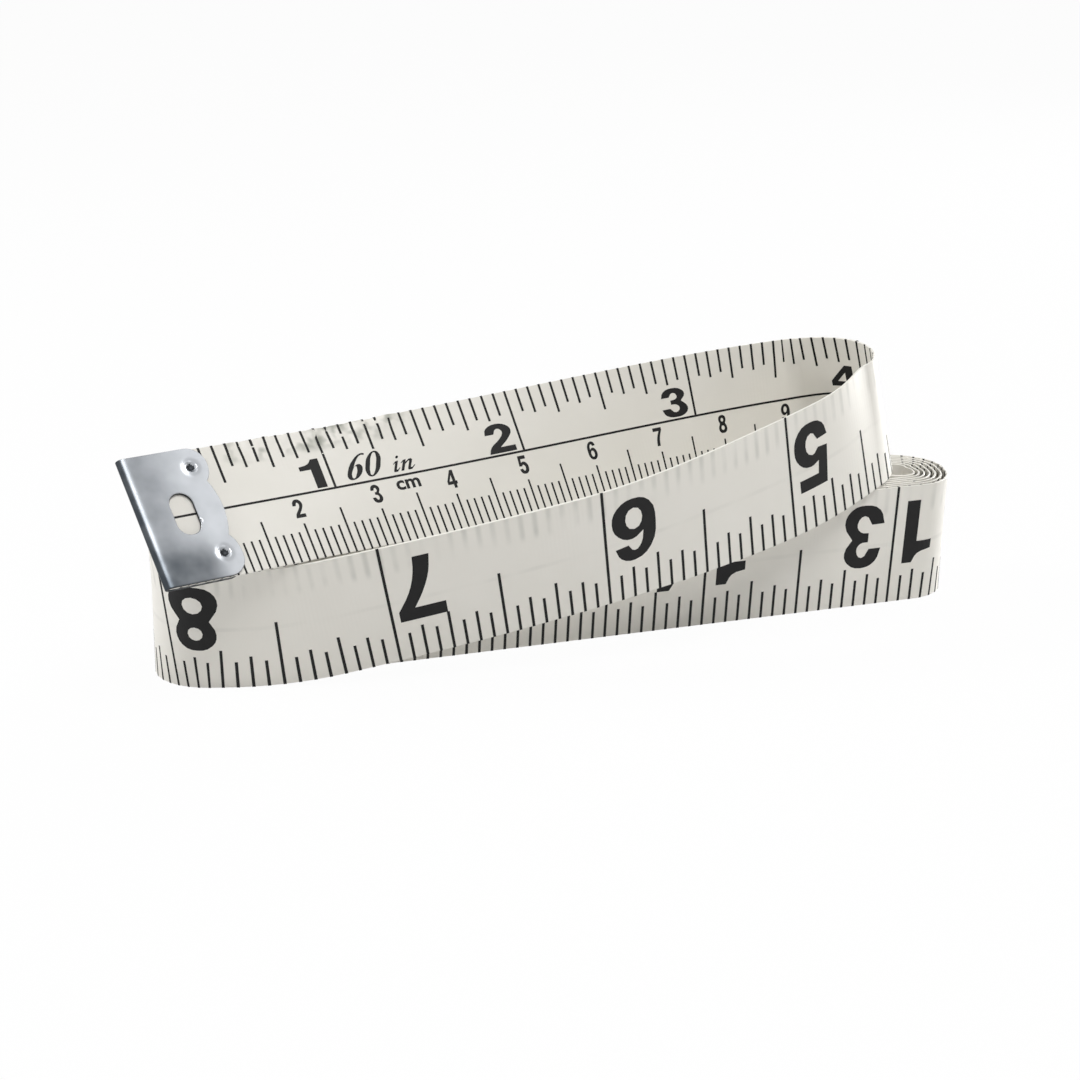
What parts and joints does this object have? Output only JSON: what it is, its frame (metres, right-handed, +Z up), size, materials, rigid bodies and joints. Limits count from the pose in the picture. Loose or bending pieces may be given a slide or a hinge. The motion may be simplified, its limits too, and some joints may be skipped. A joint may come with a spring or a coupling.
{
  "type": "tape measure",
  "caption": "Cloth tape measure wound into a flat roll on its edge, its loose outer turn lifted over the top, with inch and centimetre scales and folded metal end tips.",
  "frame": {"origin": "under the middle of the whole object, on the surface it stands on", "axes": "+X along the roll from the left fold to the right turn, +Y from the lifted front run to the back run, +Z up across the ribbon's width"},
  "size_m": [0.106, 0.0282, 0.0324],
  "materials": {
    "tape": "semi-gloss coated glass-fibre cloth",
    "tip": "satin plated sheet"
  },
  "bodies": {
    "roll": {"tape_roll": "tape", "far_end_tip": "tip", "tape_left_fold": "tape"},
    "front_run": {"tape_front_run": "tape", "tape_right_bend": "tape"},
    "lead": {"tape_lead": "tape", "zero_end_tip": "tip"}
  },
  "joints": [
    {"name": "front_run_swing", "type": "hinge", "parent": "roll", "child": "front_run", "pos_m": [-0.0411, 0.00508, 0.00775], "axis": [0, 0, -1], "range_deg": [0, 70], "deforming": ["tape_left_fold"]},
    {"name": "lead_swing", "type": "hinge", "parent": "front_run", "child": "lead", "pos_m": [0.03681, 0.00443, 0.02355], "axis": [0, 0.0523, -0.9986], "range_deg": [0, 70], "deforming": ["tape_right_bend"]}
  ]
}
